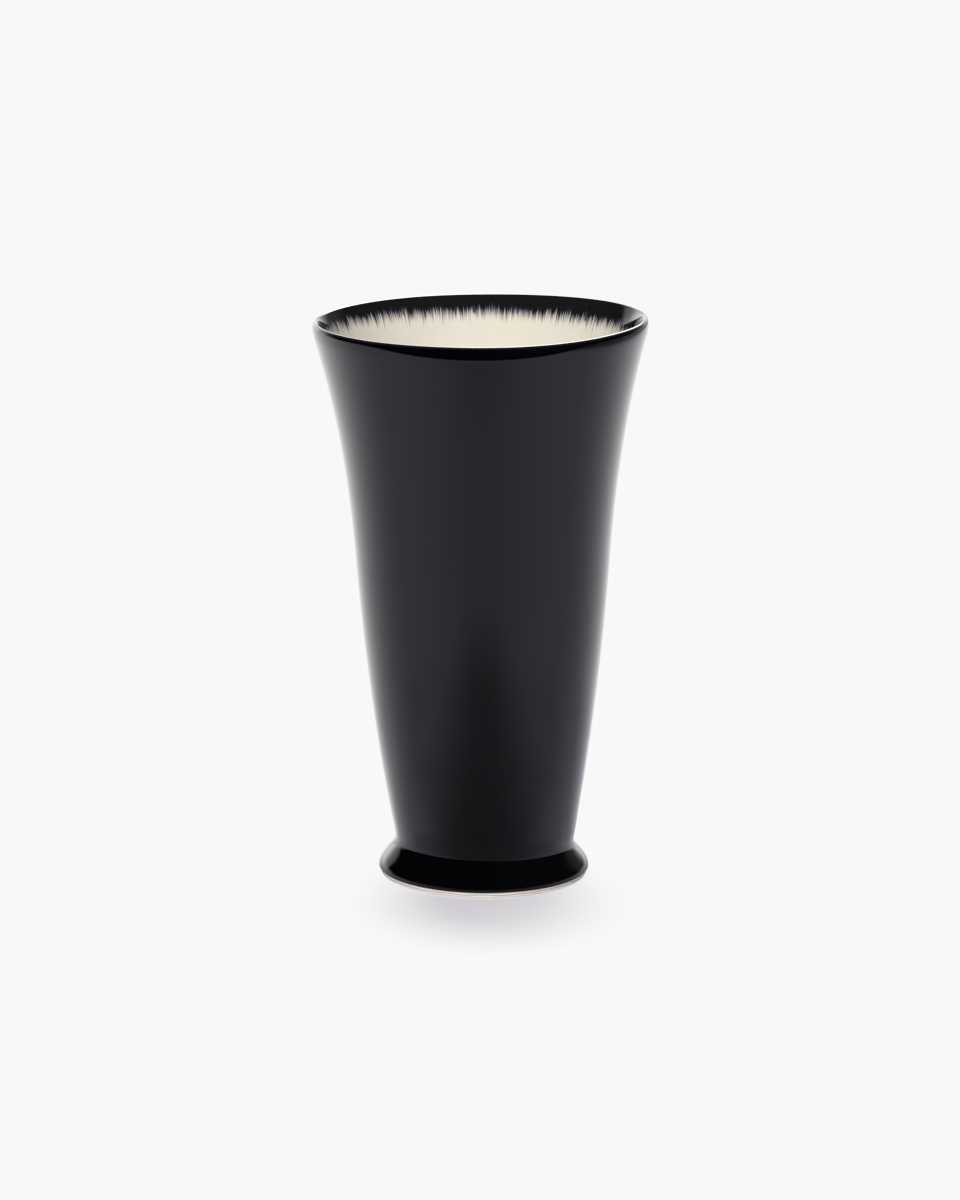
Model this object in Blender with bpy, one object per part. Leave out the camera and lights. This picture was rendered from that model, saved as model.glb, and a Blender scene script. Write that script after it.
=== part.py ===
"""A tall porcelain beaker on a flared foot, glazed black outside and cream inside.

All lengths are in metres, +Z is up, and the beaker stands on the plane z = 0
with its axis on the Z axis. Two porcelain pieces carry everything: the bowl,
and the foot ring that is luted under it. Four glaze coats lie on them: black
outside, cream inside, a brushed black band over the lip, and black in the
recess of the foot. The porcelain shows only where the foot stands.
"""
import math
import random

import bmesh
import bpy
from mathutils import Vector

# Overall size
HEIGHT = 0.149
RIM_RADIUS = 0.0440

# Lip: how thick it is, how high its rounded crest is, and the soft roll below it
LIP_THICKNESS = 0.0028
CREST_HEIGHT = 0.0017
LIP_ROLL_RADIUS = 0.0085

# Wall: radius and outward slope at the neck, at the belly line and below the lip
NECK_HEIGHT = 0.0097
NECK_RADIUS = 0.0237
NECK_SLOPE = 0.184
BELLY_HEIGHT = 0.0860
BELLY_RADIUS = 0.0336
BELLY_SLOPE = 0.074
FLARE_SLOPE = 0.29
BASE_WALL = 0.0042

# Inside of the bowl: glazed floor over the neck, and the rounding between floor and wall
FLOOR_THICKNESS = 0.0048
FLOOR_CORNER = 0.0070

# Foot: the ring it stands on, its bare toe, its top under the bowl and its recess
FOOT_RADIUS = 0.0282
STAND_WIDTH = 0.0038
TOE_STEP = 0.0003
TOE_ROUND = 0.0004
FOOT_TOP_WIDTH = 0.0035
RECESS_CORNER = 0.0015

# Glaze: thickness of a coat, where coats end, and the rounded end over the bare toe
GLAZE = 0.0004
GLAZE_LINE = 0.0013
GLAZE_EDGE_HEIGHT = 0.0007
GLAZE_EDGE_SHARE = 0.75
RECESS_GLAZE_LINE = 0.0012
BAND_OUTER_DEPTH = 0.0012

# Brushed band: how far its even part runs below the lip roll inside, and the reach and
# count of its tufts; tips and notches reach chance shares of the tuft length
BAND_DROP = 0.0007
TUFT_LENGTH = 0.0034
TUFT_COUNT = 48
TUFT_SEED = 7
TIP_SHARES = (0.45, 1.0)
NOTCH_SHARES = (0.0, 0.2)

# Clearance between pieces that touch, wider where slanted tufts meet their notches
SEAM = 0.0003
TUFT_SEAM = 0.0006

# Facets round the axis: one for each tuft, so that the brushed edge lies on them
AROUND = TUFT_COUNT

# Steps of the curves
WALL_STEPS = 8
SHOULDER_STEPS = 6
ROUND_STEPS = 4
SMALL_ROUND_STEPS = 2

# Edges bent more than this, in degrees, are shaded as edges
SHARP_ANGLE = 40.0


def clear_scene():
    """Remove whatever the scene holds."""
    for item in list(bpy.data.objects):
        bpy.data.objects.remove(item, do_unlink=True)


def make_material(name, colour, roughness, coat):
    """A fired clay or glaze: a plain colour, its roughness and a clear glassy coat."""
    material = bpy.data.materials.new(name)
    material.use_nodes = True
    shader = material.node_tree.nodes["Principled BSDF"]
    shader.inputs["Base Color"].default_value = (*colour, 1.0)
    shader.inputs["Roughness"].default_value = roughness
    shader.inputs["Metallic"].default_value = 0.0
    shader.inputs["Coat Weight"].default_value = coat
    material.diffuse_color = (*colour, 1.0)
    return material


def hermite(z, low, high):
    """Radius at height z on the cubic between two (height, radius, slope) stations."""
    low_z, low_r, low_slope = low
    high_z, high_r, high_slope = high
    span = high_z - low_z
    t = (z - low_z) / span
    return (
        (2 * t ** 3 - 3 * t ** 2 + 1) * low_r
        + (t ** 3 - 2 * t ** 2 + t) * span * low_slope
        + (3 * t ** 2 - 2 * t ** 3) * high_r
        + (t ** 3 - t ** 2) * span * high_slope
    )


def ellipse(centre, width, height, start, end, steps):
    """Points on an ellipse, from one angle to another in degrees, both included."""
    points = []
    for step in range(steps + 1):
        angle = math.radians(start + (end - start) * step / steps)
        radius = centre[0] + width * math.cos(angle)
        points.append((radius, centre[1] + height * math.sin(angle)))
    return points


def spread(low, high, steps):
    """Evenly spaced heights from low to high, both included."""
    return [low + (high - low) * step / steps for step in range(steps + 1)]


# The lip roll turns the flared wall upright just below the crest.
FLARE_ANGLE = math.atan(FLARE_SLOPE)
CREST_BASE = HEIGHT - CREST_HEIGHT
FLARE_TOP = CREST_BASE - LIP_ROLL_RADIUS * math.sin(FLARE_ANGLE)
FLARE_TOP_RADIUS = RIM_RADIUS - LIP_ROLL_RADIUS * (1.0 - math.cos(FLARE_ANGLE))

# The clay lies a coat and a seam under the glazed surface.
CLAY_DEPTH = GLAZE + SEAM
FLOOR_HEIGHT = NECK_HEIGHT + FLOOR_THICKNESS

# The bare toe is almost flush with the glaze, whose shoulder starts above its rounded end.
STAND_OUTER_RADIUS = FOOT_RADIUS - TOE_STEP
STAND_INNER_RADIUS = STAND_OUTER_RADIUS - STAND_WIDTH
SHOULDER_HEIGHT = GLAZE_LINE + GLAZE_EDGE_HEIGHT
NECK_CLAY_RADIUS = NECK_RADIUS - CLAY_DEPTH
RECESS_TOP_RADIUS = NECK_CLAY_RADIUS - FOOT_TOP_WIDTH

FOOT_STATION = (SHOULDER_HEIGHT, FOOT_RADIUS, 0.0)
FOOT_TOP_STATION = (NECK_HEIGHT, NECK_RADIUS, 0.0)
NECK_STATION = (NECK_HEIGHT, NECK_RADIUS, NECK_SLOPE)
BELLY_STATION = (BELLY_HEIGHT, BELLY_RADIUS, BELLY_SLOPE)
FLARE_STATION = (FLARE_TOP, FLARE_TOP_RADIUS, FLARE_SLOPE)


def wall_radius(z):
    """Outer radius of the glazed wall between the neck and the lip roll."""
    if z <= BELLY_HEIGHT:
        return hermite(z, NECK_STATION, BELLY_STATION)
    return hermite(z, BELLY_STATION, FLARE_STATION)


def inner_radius(z):
    """Inner radius of the glazed wall, which thins evenly from base to lip."""
    share = (z - NECK_HEIGHT) / (FLARE_TOP - NECK_HEIGHT)
    thickness = BASE_WALL + (LIP_THICKNESS - BASE_WALL) * share
    return wall_radius(z) - thickness


def foot_outside():
    """Glazed surface of the foot, from the start of its shoulder up to the neck."""
    heights = spread(SHOULDER_HEIGHT, NECK_HEIGHT, SHOULDER_STEPS)
    return [(hermite(z, FOOT_STATION, FOOT_TOP_STATION), z) for z in heights]


def wall_outside():
    """Glazed outer surface from just above the neck to the start of the crest."""
    heights = spread(NECK_HEIGHT, FLARE_TOP, WALL_STEPS)
    roll = (RIM_RADIUS - LIP_ROLL_RADIUS, CREST_BASE)
    start = -math.degrees(FLARE_ANGLE)
    bend = ellipse(roll, LIP_ROLL_RADIUS, LIP_ROLL_RADIUS, start, 0.0, SMALL_ROUND_STEPS)
    return [(wall_radius(z), z) for z in heights[1:]] + bend[1:]


def crest():
    """Rounded crest of the lip, from its outer to its inner foot."""
    half = LIP_THICKNESS / 2
    centre = (RIM_RADIUS - half, CREST_BASE)
    return ellipse(centre, half, CREST_HEIGHT, 0.0, 180.0, 2 * ROUND_STEPS)


def inside_heights():
    """Heights of the inner wall's stations, from the lip down to the floor corner."""
    return spread(FLARE_TOP, FLOOR_HEIGHT + FLOOR_CORNER, WALL_STEPS)


def floor_inside():
    """Rounded corner between the inner wall and the flat floor, ending on the axis."""
    corner_z = FLOOR_HEIGHT + FLOOR_CORNER
    centre = (inner_radius(corner_z) - FLOOR_CORNER, corner_z)
    corner = ellipse(centre, FLOOR_CORNER, FLOOR_CORNER, 0.0, -90.0, ROUND_STEPS)
    return corner[1:] + [(0.0, FLOOR_HEIGHT)]


def inset(points, depth):
    """Move an outline sideways, to the left of the way it runs, by one depth.

    The outlines here run up the outside, over the lip and down the inside, so
    their left is where the porcelain is.
    """
    moved = []
    for index, point in enumerate(points):
        before = Vector(points[max(index - 1, 0)])
        after = Vector(points[min(index + 1, len(points) - 1)])
        along = (after - before).normalized()
        moved.append((point[0] - along.y * depth, point[1] + along.x * depth))
    if points[-1][0] == 0.0:
        moved[-1] = (0.0, moved[-2][1])
    return moved


def ring(section_point, count):
    """Points of one level ring through a (radius, height) point."""
    radius, height = section_point
    if radius == 0.0:
        return [Vector((0.0, 0.0, height))]
    points = []
    for step in range(count):
        angle = 2.0 * math.pi * step / count
        points.append(Vector((radius * math.cos(angle), radius * math.sin(angle), height)))
    return points


def join_rings(mesh, low, high):
    """Faces between two rings of any counts, one of which may be a single point.

    Rings of one count are joined by quads. Otherwise each edge of either ring
    gets a triangle, taken in the order of the edges' middles round the axis.
    """
    low_count = len(low)
    high_count = len(high)
    if low_count == high_count:
        for step in range(low_count):
            after = (step + 1) % low_count
            mesh.faces.new((low[step], low[after], high[after], high[step]))
        return
    edges = []
    if low_count > 1:
        edges += [((step + 0.5) / low_count, "low") for step in range(low_count)]
    if high_count > 1:
        edges += [((step + 0.5) / high_count, "high") for step in range(high_count)]
    low_step = 0
    high_step = 0
    for _, side in sorted(edges):
        start = low[low_step % low_count]
        end = high[high_step % high_count]
        if side == "low":
            low_step += 1
            mesh.faces.new((start, low[low_step % low_count], end))
        else:
            high_step += 1
            mesh.faces.new((start, high[high_step % high_count], end))


def loft(name, rings, material, closed):
    """A solid skinned over rings; a closed one comes back to its first ring."""
    mesh = bmesh.new()
    loops = [[mesh.verts.new(point) for point in points] for points in rings]
    for low, high in zip(loops, loops[1:]):
        join_rings(mesh, low, high)
    if closed:
        join_rings(mesh, loops[-1], loops[0])
    bmesh.ops.recalc_face_normals(mesh, faces=mesh.faces)
    data = bpy.data.meshes.new(name)
    mesh.to_mesh(data)
    mesh.free()
    data.shade_smooth()
    data.set_sharp_from_angle(angle=math.radians(SHARP_ANGLE))
    data.materials.append(material)
    item = bpy.data.objects.new(name, data)
    bpy.context.scene.collection.objects.link(item)
    return item


def turn(name, outline, material, closed=True):
    """A solid of revolution from a section outline."""
    return loft(name, [ring(point, AROUND) for point in outline], material, closed)


def below(points, height):
    """The part of a rising outline under one height, cut exactly at it."""
    count = 0
    while points[count][1] < height:
        count += 1
    last = points[count - 1]
    following = points[count]
    share = (height - last[1]) / (following[1] - last[1])
    return points[:count] + [(last[0] + (following[0] - last[0]) * share, height)]


def make_bowl(material):
    """The thrown porcelain bowl: a flared wall and a closed floor, under the glaze."""
    inner_wall = [(inner_radius(z), z) for z in inside_heights()]
    surface = wall_outside() + crest()[1:] + inner_wall + floor_inside()
    underside = NECK_HEIGHT + SEAM / 2
    outline = [(0.0, underside), (NECK_CLAY_RADIUS, underside)] + inset(surface, CLAY_DEPTH)
    return turn("bowl", outline, material, closed=False)


def make_foot(material):
    """The flared foot ring, with a ledge that the glaze ends on, a bare toe and a flat base."""
    shoulder = inset(foot_outside(), CLAY_DEPTH)[:-1]
    centre = (STAND_OUTER_RADIUS - TOE_ROUND, TOE_ROUND)
    toe = ellipse(centre, TOE_ROUND, TOE_ROUND, -90.0, 0.0, SMALL_ROUND_STEPS)
    ledge = GLAZE_LINE - SEAM
    step = [(STAND_OUTER_RADIUS, ledge), (FOOT_RADIUS - CLAY_DEPTH, ledge)]
    top = NECK_HEIGHT - SEAM / 2
    outline = [(STAND_INNER_RADIUS, 0.0)] + toe + step + shoulder
    outline += [(NECK_CLAY_RADIUS, top), (RECESS_TOP_RADIUS, top)]
    return turn("foot", outline, material)


def make_outer_glaze(material):
    """Black coat from its rounded end over the toe up to the edge of the lip band."""
    width = GLAZE * GLAZE_EDGE_SHARE
    centre = (FOOT_RADIUS - width, SHOULDER_HEIGHT)
    end = ellipse(centre, width, GLAZE_EDGE_HEIGHT, -90.0, 0.0, SMALL_ROUND_STEPS)
    rising = foot_outside() + wall_outside() + crest()[1:]
    surface = below(rising, HEIGHT - BAND_OUTER_DEPTH - SEAM)
    back = [(FOOT_RADIUS - GLAZE, GLAZE_LINE)] + inset(surface, GLAZE)
    return turn("outer_glaze", end[:-1] + surface + back[::-1], material)


def make_recess_glaze(material):
    """Black coat inside the foot: up its inner wall and over the underside of the bowl."""
    roof = NECK_HEIGHT + SEAM / 2
    lean = (RECESS_TOP_RADIUS - STAND_INNER_RADIUS) / (NECK_HEIGHT - SEAM / 2)
    start = (STAND_INNER_RADIUS + lean * RECESS_GLAZE_LINE, RECESS_GLAZE_LINE)
    corner_z = roof - RECESS_CORNER
    centre = (STAND_INNER_RADIUS + lean * corner_z - RECESS_CORNER, corner_z)
    corner = ellipse(centre, RECESS_CORNER, RECESS_CORNER, 0.0, 90.0, ROUND_STEPS)
    clay = [start] + corner + [(0.0, roof)]
    outline = inset(clay, CLAY_DEPTH)[::-1] + inset(clay, SEAM)
    return turn("recess_glaze", outline, material, closed=False)


def tuft_reaches():
    """How far each tip and notch of the brushed edge lies below the lip roll."""
    chance = random.Random(TUFT_SEED)
    reaches = []
    for _ in range(TUFT_COUNT):
        reaches.append(BAND_DROP + TUFT_LENGTH * chance.uniform(*TIP_SHARES))
        reaches.append(BAND_DROP + TUFT_LENGTH * chance.uniform(*NOTCH_SHARES))
    return reaches


def tuft_ring(extra_reach, depth):
    """The brushed edge on the inner wall, lowered by a reach and sunk by a depth.

    Tips lie on the corners of the facets and notches on the middles between them.
    """
    points = []
    for step, reach in enumerate(tuft_reaches()):
        height = FLARE_TOP - reach - extra_reach
        radius = inner_radius(height) + depth
        if step % 2 == 1:
            radius *= math.cos(math.pi / AROUND)
        angle = math.pi * step / TUFT_COUNT
        points.append(Vector((radius * math.cos(angle), radius * math.sin(angle), height)))
    return points


def make_rim_band(material):
    """Black band brushed over the lip, with tufts that run down the inner wall."""
    start = HEIGHT - BAND_OUTER_DEPTH
    outer_edge = below(crest(), start)
    outline = outer_edge[-1:] + crest()[len(outer_edge) - 1:]
    outline.append((inner_radius(FLARE_TOP), FLARE_TOP))
    under = inset(outline, GLAZE)
    rings = [ring(point, AROUND) for point in outline]
    rings += [tuft_ring(0.0, 0.0), tuft_ring(0.0, GLAZE)]
    rings += [ring(point, AROUND) for point in under[::-1]]
    return loft("rim_band", rings, material, closed=True)


def make_inner_glaze(material):
    """Cream coat of the inside, notched at its top edge where the tufts run in."""
    lowest = FLARE_TOP - BAND_DROP - TUFT_LENGTH - 2 * TUFT_SEAM
    wall = [(inner_radius(z), z) for z in inside_heights() if z < lowest]
    surface = wall + floor_inside()
    under = inset(surface, GLAZE)
    rings = [ring(point, AROUND) for point in under[::-1]]
    rings += [tuft_ring(TUFT_SEAM, GLAZE), tuft_ring(TUFT_SEAM, 0.0)]
    rings += [ring(point, AROUND) for point in surface]
    return loft("inner_glaze", rings, material, closed=False)


def main():
    clear_scene()
    porcelain = make_material("porcelain", colour=(0.78, 0.72, 0.68), roughness=0.55, coat=0.0)
    black_glaze = make_material("black_glaze", colour=(0.012, 0.012, 0.014), roughness=0.08, coat=1.0)
    cream_glaze = make_material("cream_glaze", colour=(0.80, 0.75, 0.65), roughness=0.12, coat=1.0)
    make_bowl(porcelain)
    make_foot(porcelain)
    make_outer_glaze(black_glaze)
    make_recess_glaze(black_glaze)
    make_rim_band(black_glaze)
    make_inner_glaze(cream_glaze)


main()
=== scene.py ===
# %% [markdown]
# # A tall glazed beaker, built and finished in code
#
# The object is a porcelain drinking beaker without a handle: a flared bowl on a small
# foot, black glaze outside, cream glaze inside, and black brushed over the lip so that
# the strokes run down into the cream. It is a turned form, so every piece here is a
# section outline spun about the Z axis. The lesson goes from the measured frame to the
# section, the hand-made unevenness, the pieces, the glazes, the light and the camera.

# %% Load the measured frame
import math

import bmesh
import bpy
from mathutils import Matrix, Vector


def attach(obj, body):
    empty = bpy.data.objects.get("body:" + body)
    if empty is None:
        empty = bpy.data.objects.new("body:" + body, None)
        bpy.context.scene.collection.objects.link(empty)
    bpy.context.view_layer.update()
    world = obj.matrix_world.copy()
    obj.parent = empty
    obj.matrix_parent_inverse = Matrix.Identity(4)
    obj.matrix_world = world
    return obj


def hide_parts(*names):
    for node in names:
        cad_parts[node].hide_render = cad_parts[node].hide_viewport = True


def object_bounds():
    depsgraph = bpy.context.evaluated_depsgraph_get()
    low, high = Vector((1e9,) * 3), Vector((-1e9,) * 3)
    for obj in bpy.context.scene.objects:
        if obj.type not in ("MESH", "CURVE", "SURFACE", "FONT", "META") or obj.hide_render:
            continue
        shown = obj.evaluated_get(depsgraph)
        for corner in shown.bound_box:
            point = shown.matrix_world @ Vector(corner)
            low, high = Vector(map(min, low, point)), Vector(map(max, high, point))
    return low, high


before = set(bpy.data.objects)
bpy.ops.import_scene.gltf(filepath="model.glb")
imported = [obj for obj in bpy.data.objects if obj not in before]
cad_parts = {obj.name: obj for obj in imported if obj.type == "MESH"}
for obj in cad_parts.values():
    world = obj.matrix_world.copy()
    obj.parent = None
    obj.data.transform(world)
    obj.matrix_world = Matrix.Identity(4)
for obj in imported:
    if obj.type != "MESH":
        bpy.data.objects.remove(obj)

cad_low, cad_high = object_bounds()
print("the frame holds", ", ".join(sorted(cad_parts)))
print("box in mm:", [round(1000 * size, 1) for size in cad_high - cad_low])

# %% [markdown]
# ## The section of the beaker
#
# A potter thinks of a pot as one section line. Here that line is made of smooth cubics
# between a few measured stations, each with a height, a radius and a slope. Cubics are
# chosen because a glossy surface shows every kink, and they join without any.

# %% Sizes of the section, in metres
HEIGHT = cad_high.z
RIM_RADIUS = cad_high.x
LIP_THICKNESS = 0.0017
CREST_HEIGHT = 0.0015
LIP_ROLL_RADIUS = 0.0097
NECK_HEIGHT = 0.0096
NECK_RADIUS = 0.02377
NECK_SLOPE = 0.184
NECK_REACH = 0.0014
BELLY_HEIGHT = 0.0860
BELLY_RADIUS = 0.0336
BELLY_SLOPE = 0.074
FLARE_SLOPE = 0.29
BASE_WALL = 0.0042
FLARE_WALL = 0.00295
INNER_LIP_SLOPE = 0.60
INNER_FLARE_DEPTH = 0.0088
FLOOR_HEIGHT = 0.0145
FLOOR_CORNER = 0.0070
FOOT_RADIUS = 0.0280
SHOULDER_HEIGHT = 0.0020
GLAZE = 0.0004
GLAZE_LINE = 0.0014

FLARE_ANGLE = math.atan(FLARE_SLOPE)
CREST_BASE = HEIGHT - CREST_HEIGHT
FLARE_TOP = CREST_BASE - LIP_ROLL_RADIUS * math.sin(FLARE_ANGLE)
FLARE_TOP_RADIUS = RIM_RADIUS - LIP_ROLL_RADIUS * (1.0 - math.cos(FLARE_ANGLE))
print("lip roll starts at", round(1000 * FLARE_TOP, 1), "mm")


# %% [markdown]
# Two kinds of curve make the whole section: cubics between stations, and parts of
# ellipses where an edge is rounded. Both give lists of (radius, height) points.


# %% Helpers for curves
def hermite(z, low, high):
    """Radius at height z on the cubic between two (height, radius, slope) stations."""
    low_z, low_r, low_slope = low
    high_z, high_r, high_slope = high
    span = high_z - low_z
    t = (z - low_z) / span
    return (
        (2 * t ** 3 - 3 * t ** 2 + 1) * low_r
        + (t ** 3 - 2 * t ** 2 + t) * span * low_slope
        + (3 * t ** 2 - 2 * t ** 3) * high_r
        + (t ** 3 - t ** 2) * span * high_slope
    )


def spread(low, high, steps):
    """Evenly spaced numbers from low to high, both included."""
    return [low + (high - low) * step / steps for step in range(steps + 1)]


def cubic(low, high, steps):
    """Section points along the cubic between two stations."""
    return [(hermite(z, low, high), z) for z in spread(low[0], high[0], steps)]


def ellipse(centre, width, height, start, end, steps):
    """Section points on an ellipse, from one angle to another in degrees."""
    return [
        (centre[0] + width * math.cos(math.radians(angle)),
         centre[1] + height * math.sin(math.radians(angle)))
        for angle in spread(start, end, steps)
    ]


def station(radius_at, z, step=1e-5):
    """The (height, radius, slope) of a radius function at one height."""
    slope = (radius_at(z + step) - radius_at(z - step)) / (2 * step)
    return (z, radius_at(z), slope)


# %% [markdown]
# The outside runs from the glaze's rounded end just above the table, over the flared
# foot, in through the neck, up the wall and round the soft roll below the lip. Foot and
# bowl are two thrown parts, and glaze pools in the groove between them, so a short
# cubic bridges the corner there.

# %% The outside of the section
FOOT_STEPS = 22
JOINT_STEPS = 10
WALL_STEPS = 84
ROLL_STEPS = 10
FOOT_STATION = (SHOULDER_HEIGHT, FOOT_RADIUS, 0.0)
FOOT_TOP_STATION = (NECK_HEIGHT, NECK_RADIUS, 0.0)
NECK_STATION = (NECK_HEIGHT, NECK_RADIUS, NECK_SLOPE)
BELLY_STATION = (BELLY_HEIGHT, BELLY_RADIUS, BELLY_SLOPE)
FLARE_STATION = (FLARE_TOP, FLARE_TOP_RADIUS, FLARE_SLOPE)


def foot_radius(z):
    """Glazed radius of the foot between its shoulder and the neck."""
    return hermite(z, FOOT_STATION, FOOT_TOP_STATION)


def wall_radius(z):
    """Glazed outer radius of the bowl between the neck and the lip roll."""
    if z <= BELLY_HEIGHT:
        return hermite(z, NECK_STATION, BELLY_STATION)
    return hermite(z, BELLY_STATION, FLARE_STATION)


def outside():
    """Section from the foot's shoulder up to the start of the crest."""
    foot_end = station(foot_radius, NECK_HEIGHT - NECK_REACH)
    wall_start = station(wall_radius, NECK_HEIGHT + NECK_REACH)
    points = cubic(FOOT_STATION, FOOT_TOP_STATION, FOOT_STEPS)
    points = [point for point in points if point[1] < foot_end[0]]
    points += cubic(foot_end, wall_start, JOINT_STEPS)
    wall_heights = spread(wall_start[0], FLARE_TOP, WALL_STEPS)
    points += [(wall_radius(z), z) for z in wall_heights[1:]]
    roll = (RIM_RADIUS - LIP_ROLL_RADIUS, CREST_BASE)
    start = -math.degrees(FLARE_ANGLE)
    points += ellipse(roll, LIP_ROLL_RADIUS, LIP_ROLL_RADIUS, start, 0.0, ROLL_STEPS)[1:]
    return points


print("outside:", len(outside()), "section points")

# %% [markdown]
# Over the lip the section is part of an ellipse, 1.7 mm thick and 1.5 mm high, which
# makes a thin edge to drink from. Inside, the last nine millimetres flare outward.
# Below them the wall thickens evenly towards the bottom, as a thrown wall does, and a
# wide rounding leads to the floor.

# %% The lip and the inside of the section
BAND_OUTER_DEPTH = 0.0005
BAND_DEPTH = 0.0105
BAND_ANGLE = math.degrees(math.asin(1.0 - BAND_OUTER_DEPTH / CREST_HEIGHT))
HALF_LIP = LIP_THICKNESS / 2
# The inner flare takes its slope from the wall this far below its start
FLARE_MATCH = 0.00002
CREST_END = 180.0 - math.degrees(math.atan(INNER_LIP_SLOPE * CREST_HEIGHT / HALF_LIP))


def crest(start, end, steps):
    """Part of the rounded lip: 0 degrees faces outward, 180 inward."""
    centre = (RIM_RADIUS - HALF_LIP, CREST_BASE)
    return ellipse(centre, HALF_LIP, CREST_HEIGHT, start, end, steps)


crest_end_radius, crest_end_z = crest(0.0, CREST_END, 1)[-1]


def inner_radius(z):
    """Glazed inner radius of the bowl, from the floor corner up to the crest."""
    flare_start = HEIGHT - INNER_FLARE_DEPTH
    if z > flare_start:
        low = station(inner_radius, flare_start - FLARE_MATCH)
        return hermite(z, low, (crest_end_z, crest_end_radius, INNER_LIP_SLOPE))
    share = (z - NECK_HEIGHT) / (FLARE_TOP - NECK_HEIGHT)
    return wall_radius(z) - (BASE_WALL + (FLARE_WALL - BASE_WALL) * share)


def inner_wall(top, bottom, steps):
    """Section down the inside between two heights."""
    return [(inner_radius(z), z) for z in spread(top, bottom, steps)]


def inner_floor():
    """Rounding and floor inside, ending on the axis."""
    corner_z = FLOOR_HEIGHT + FLOOR_CORNER
    centre = (inner_radius(corner_z) - FLOOR_CORNER, corner_z)
    corner = ellipse(centre, FLOOR_CORNER, FLOOR_CORNER, 0.0, -90.0, 14)
    flat = [(radius, FLOOR_HEIGHT) for radius in spread(centre[0], 0.0, 6)]
    return corner[1:] + flat[1:]


print("inside at the rim:", round(2000 * crest_end_radius, 1), "mm across")

# %% [markdown]
# ## Uneven as a fired pot is
#
# No fired pot is a perfect surface of revolution. The bowl was set on its foot by hand,
# so it leans by less than a degree to one side and the joint below it slopes the other
# way, the wall bows a little, and the rim rises and dips by tenths of a millimetre. One
# function moves every point of every piece by the same small amount, so pieces that
# touch stay together.

# %% Unevenness of the firing
RIM_WAVES = ((2, 0.00010, 0.6), (2, 0.00012, 1.57), (3, 0.00008, 2.1), (5, 0.00004, 4.0))
RIM_LIFT = 0.00034
RIM_BACK = -0.00007
RIM_TILT = 0.00028
WAVE_START = 0.070
LEAN = 0.0128
LEAN_REACH = 0.008
JOINT_TILT = 0.0125
JOINT_LOW, JOINT_HIGH = 0.003, 0.020
BOW = 0.00023
BOW_RISE = (0.006, 0.012)
BOW_FALL = (HEIGHT, 0.110)


def ease(value, start, end):
    """0 before the start, 1 after the end, and smooth between."""
    t = min(max((value - start) / (end - start), 0.0), 1.0)
    return t * t * (3.0 - 2.0 * t)


def settle(point):
    """Where a point of the true form has moved to in the firing."""
    x, y, z = point
    angle = math.atan2(y, x)
    rise = min(max((z - WAVE_START) / (HEIGHT - WAVE_START), 0.0), 1.0)
    lift = RIM_LIFT + RIM_TILT * math.cos(angle) + RIM_BACK * math.sin(angle)
    lift += sum(size * math.sin(count * angle + phase) for count, size, phase in RIM_WAVES)
    leaning = LEAN * ease(z, NECK_HEIGHT, NECK_HEIGHT + LEAN_REACH)
    joint = JOINT_TILT * ease(z, JOINT_LOW, NECK_HEIGHT) * ease(z, JOINT_HIGH, NECK_HEIGHT)
    bow = BOW * ease(z, *BOW_RISE) * ease(z, *BOW_FALL)
    return Vector((
        x + bow - leaning * (z - NECK_HEIGHT),
        y,
        z + lift * rise ** 2 + (leaning - joint) * x,
    ))


print("largest rim wave:", sum(size for _, size, _ in RIM_WAVES) * 1000, "mm")

# %% [markdown]
# ## Turning the section
#
# Spinning an outline could be done with a Screw modifier. Here the rings are made one by
# one, because each vertex then passes through `settle`, and a section that starts or
# ends on the axis closes in a single point instead of a bunch of doubled ones.

# %% Rings and the skin between them
AROUND = 288


def offset(points, depth):
    """The outline moved sideways by a depth, to the left of the way it runs."""
    moved = []
    for index, point in enumerate(points):
        before = Vector(points[max(index - 1, 0)])
        after = Vector(points[min(index + 1, len(points) - 1)])
        along = (after - before).normalized()
        moved.append((point[0] - along.y * depth, point[1] + along.x * depth))
    if points[-1][0] == 0.0:
        moved[-1] = (0.0, moved[-2][1])
    return moved


def ring(mesh, radius, height):
    """Vertices of one level ring, or a single one on the axis."""
    if radius == 0.0:
        return [mesh.verts.new(settle(Vector((0.0, 0.0, height))))]
    turns = [2.0 * math.pi * step / AROUND for step in range(AROUND)]
    return [
        mesh.verts.new(settle(Vector((radius * math.cos(a), radius * math.sin(a), height))))
        for a in turns
    ]


def skin(mesh, low, high):
    """Faces between two neighbouring rings."""
    for step in range(AROUND):
        after = (step + 1) % AROUND
        if len(low) == 1:
            mesh.faces.new((low[0], high[after], high[step]))
        elif len(high) == 1:
            mesh.faces.new((low[step], low[after], high[0]))
        else:
            mesh.faces.new((low[step], low[after], high[after], high[step]))


# %% Turn an outline into a solid
SHARP_ANGLE = math.radians(40.0)


def turn(name, outline, closed=True):
    """A solid of revolution; an outline that is not closed starts and ends on the axis."""
    mesh = bmesh.new()
    rings = [ring(mesh, *point) for point in outline]
    for low, high in zip(rings, rings[1:]):
        skin(mesh, low, high)
    if closed:
        skin(mesh, rings[-1], rings[0])
    bmesh.ops.recalc_face_normals(mesh, faces=mesh.faces)
    data = bpy.data.meshes.new(name)
    mesh.to_mesh(data)
    mesh.free()
    data.shade_smooth()
    data.set_sharp_from_angle(angle=SHARP_ANGLE)
    piece = bpy.data.objects.new(name, data)
    bpy.context.scene.collection.objects.link(piece)
    print(name, "has", len(data.polygons), "faces")
    return piece


# %% Backs of coats, and the place of a piece
def glaze_back(surface):
    """The back of a coat, where it meets the clay: fewer points, run the other way."""
    back = offset(surface, GLAZE)[::-1]
    return back[:1] + back[1:-1][::3] + back[-1:]


def place(piece, node):
    """The piece rides with the beaker and hides the CAD node that it stands for."""
    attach(piece, "root")
    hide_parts(node)


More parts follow.
